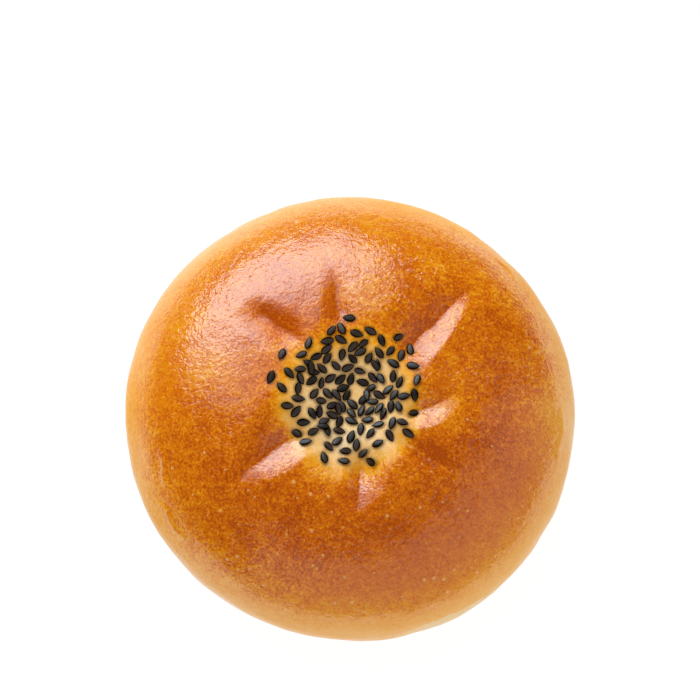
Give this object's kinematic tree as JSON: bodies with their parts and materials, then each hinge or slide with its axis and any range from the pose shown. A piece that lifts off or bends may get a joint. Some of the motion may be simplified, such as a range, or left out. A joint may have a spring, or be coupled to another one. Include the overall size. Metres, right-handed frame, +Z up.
{
  "type": "bread roll",
  "caption": "Round glazed bread roll with a pressed, puckered centre sprinkled with black sesame seeds, to set on a plate or in a basket.",
  "frame": {"origin": "middle of the roll's outline, on the flat base it stands on", "axes": "+Z up through the pressed centre; +X to the right and +Y to the back of the roll as it is usually shown, from the front and above"},
  "size_m": [0.1, 0.1, 0.0436],
  "materials": {
    "crust": "browned, egg-washed bread crust, glossy on top and matt below",
    "sesame": "dry black sesame seed, satin"
  },
  "bodies": {
    "root": {"roll": "crust"}
  },
  "joints": []
}
